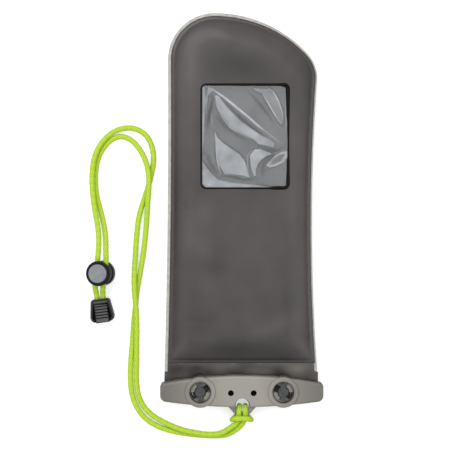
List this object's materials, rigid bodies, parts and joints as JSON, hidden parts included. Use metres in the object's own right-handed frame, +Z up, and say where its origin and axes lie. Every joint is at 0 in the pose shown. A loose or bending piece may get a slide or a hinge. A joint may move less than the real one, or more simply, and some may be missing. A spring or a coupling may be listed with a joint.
{
  "type": "waterproof phone case",
  "caption": "Flat clear-fronted waterproof pouch for a phone, closed by a cam clamp with turning levers, with a neck cord, cord lock and cord end.",
  "frame": {"origin": "on the resting surface under the middle of the case without its neck cord", "axes": "+Y along the case to its rounded closed end, +X across it, +Z up out of the dark back"},
  "size_m": [0.1772, 0.3198, 0.021],
  "materials": {
    "case_grey": "satin",
    "clear_window": "clear film",
    "clear_front": "clear film",
    "lip": "satin",
    "clamp": "satin",
    "lever": "satin",
    "lock_black": "satin",
    "lock_grey": "satin",
    "spring_steel": "wire",
    "cord": "braided cord"
  },
  "bodies": {
    "case": {"back_panel": "case_grey", "camera_window": "clear_window", "front_panel": "clear_front", "mouth_lip_back": "lip", "mouth_lip_front": "lip", "clamp_front_bar": "clamp", "neck_cord": "cord", "lock_barrel": "lock_black", "lock_spring": "spring_steel", "cord_end_base": "lock_black", "cord_end_cover": "lock_black", "cord_knot": "cord"},
    "clamp_back": {"clamp_back_bar": "clamp"},
    "left_lever": {"lever_left": "lever", "snap_ring_left": "lever"},
    "right_lever": {"lever_right": "lever", "snap_ring_right": "lever"},
    "lock_button": {"lock_plunger": "lock_grey"}
  },
  "joints": [
    {"name": "lever_left_turn", "type": "hinge", "parent": "case", "child": "left_lever", "pos_m": [-0.031, -0.13305, 0], "axis": [0, 0, -1], "range_deg": [0, 60]},
    {"name": "lever_right_turn", "type": "hinge", "parent": "case", "child": "right_lever", "pos_m": [0.031, -0.13305, 0], "axis": [0, 0, 1], "range_deg": [0, 60]},
    {"name": "clamp_lift", "type": "slide", "parent": "case", "child": "clamp_back", "axis": [0, 0, 1], "range_m": [0, 0.0012]},
    {"name": "lock_button_press", "type": "slide", "parent": "case", "child": "lock_button", "axis": [0.1822, 0, -0.9833], "range_m": [0, 0.0024], "stiffness_N_per_m": 400, "springref_m": -0.002, "deforming": ["lock_spring"]}
  ],
  "couplings": [
    {"joint": "lever_left_turn", "follows": "clamp_lift", "rad_per_m": 872.66},
    {"joint": "lever_right_turn", "follows": "clamp_lift", "rad_per_m": 872.66}
  ]
}
